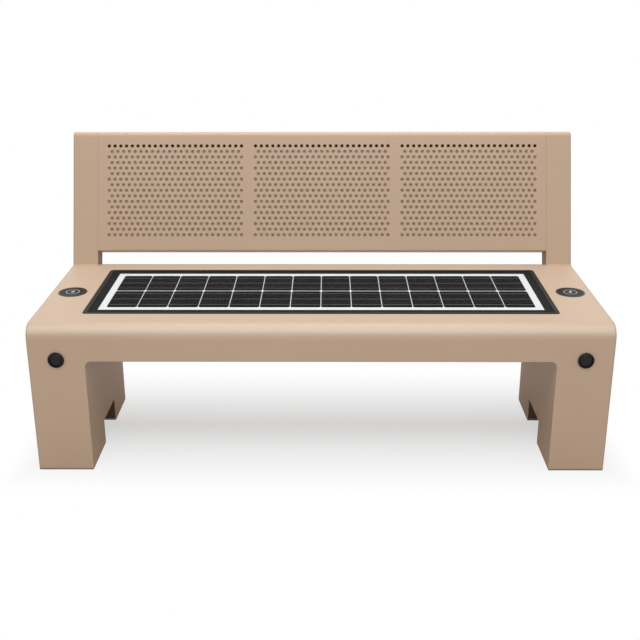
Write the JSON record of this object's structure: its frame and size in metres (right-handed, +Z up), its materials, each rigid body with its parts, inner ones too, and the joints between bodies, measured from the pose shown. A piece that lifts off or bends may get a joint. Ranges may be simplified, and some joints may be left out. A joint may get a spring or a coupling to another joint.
{
  "type": "solar charging bench",
  "caption": "Sheet-steel park bench with a leaning perforated back, a solar module let into the seat, wireless charging pads and capped front sockets.",
  "frame": {"origin": "centre of the bounding box's footprint, on the ground", "axes": "+X to the right seen from the front, along the bench's length; +Y from front to back; +Z up"},
  "size_m": [1.65, 0.7994, 0.8624],
  "materials": {
    "powder_coat": "satin champagne beige powder coat",
    "galvanised_steel": "hot-dip galvanised",
    "stainless_fasteners": "satin",
    "black_anodised_frame": "black anodised, satin",
    "module_glass": "clear tempered",
    "white_backsheet": "white film",
    "silicon_cells": "dark blue-black, anti-reflection coated",
    "tinned_ribbon": "tinned copper",
    "black_rubber": "matte",
    "support_ply": "sealed plywood",
    "black_plastic": "moulded, satin",
    "charger_disc": "satin black with a pale ring and bolt sign",
    "copper_coil": "enamelled wire",
    "circuit_board": "solder resist",
    "battery_case": "moulded",
    "controller_case": "finned casting"
  },
  "bodies": {
    "bench": {"seat_shell": "powder_coat", "right_end_panel": "powder_coat", "left_end_panel": "powder_coat", "right_leg_inner_panel": "powder_coat", "left_leg_inner_panel": "powder_coat", "right_notch_liner": "powder_coat", "left_notch_liner": "powder_coat", "right_leg_rear_cover": "powder_coat", "left_leg_rear_cover": "powder_coat", "cover_lugs": "galvanised_steel", "foot_plates": "powder_coat", "rear_apron": "powder_coat", "underside_pan": "powder_coat", "service_cover": "powder_coat", "front_rail": "galvanised_steel", "rear_rail": "galvanised_steel", "cross_members": "galvanised_steel", "module_ledge": "galvanised_steel", "module_gasket": "black_rubber", "solar_frame": "black_anodised_frame", "solar_glass": "module_glass", "solar_backsheet": "white_backsheet", "solar_cells": "silicon_cells", "cell_ribbons": "tinned_ribbon", "support_board": "support_ply", "junction_box": "black_plastic", "right_post_shell": "powder_coat", "left_post_shell": "powder_coat", "right_post_inner_plate": "powder_coat", "left_post_inner_plate": "powder_coat", "backrest_front_sheet": "powder_coat", "backrest_rear_sheet": "powder_coat", "backrest_liners": "powder_coat", "backrest_ribs": "galvanised_steel", "backrest_bolts": "stainless_fasteners", "right_charger_bezel": "black_plastic", "left_charger_bezel": "black_plastic", "right_charger_pad": "charger_disc", "left_charger_pad": "charger_disc", "charger_coils": "copper_coil", "charger_boards": "circuit_board", "charger_nuts": "black_plastic", "right_socket_bezel": "black_plastic", "left_socket_bezel": "black_plastic", "right_usb_insert": "black_plastic", "left_usb_insert": "black_plastic", "cap_hinge_pins": "stainless_fasteners", "socket_gaskets": "black_rubber", "socket_nuts": "galvanised_steel", "battery_tray": "stainless_fasteners", "battery_pack": "battery_case", "battery_strap": "stainless_fasteners", "charge_controller": "controller_case", "terminal_box": "black_plastic", "wiring": "black_rubber", "cable_clips": "black_plastic", "cover_screws": "stainless_fasteners"},
    "left_cap": {"left_socket_cap": "black_plastic"},
    "right_cap": {"right_socket_cap": "black_plastic"}
  },
  "joints": [
    {"name": "left_cap_hinge", "type": "hinge", "parent": "bench", "child": "left_cap", "pos_m": [-0.745, -0.39725, 0.37], "axis": [-1, 0, 0], "range_deg": [0, 110], "stiffness_Nm_per_rad": 0.01},
    {"name": "right_cap_hinge", "type": "hinge", "parent": "bench", "child": "right_cap", "pos_m": [0.745, -0.39725, 0.37], "axis": [-1, 0, 0], "range_deg": [0, 110], "stiffness_Nm_per_rad": 0.01}
  ]
}
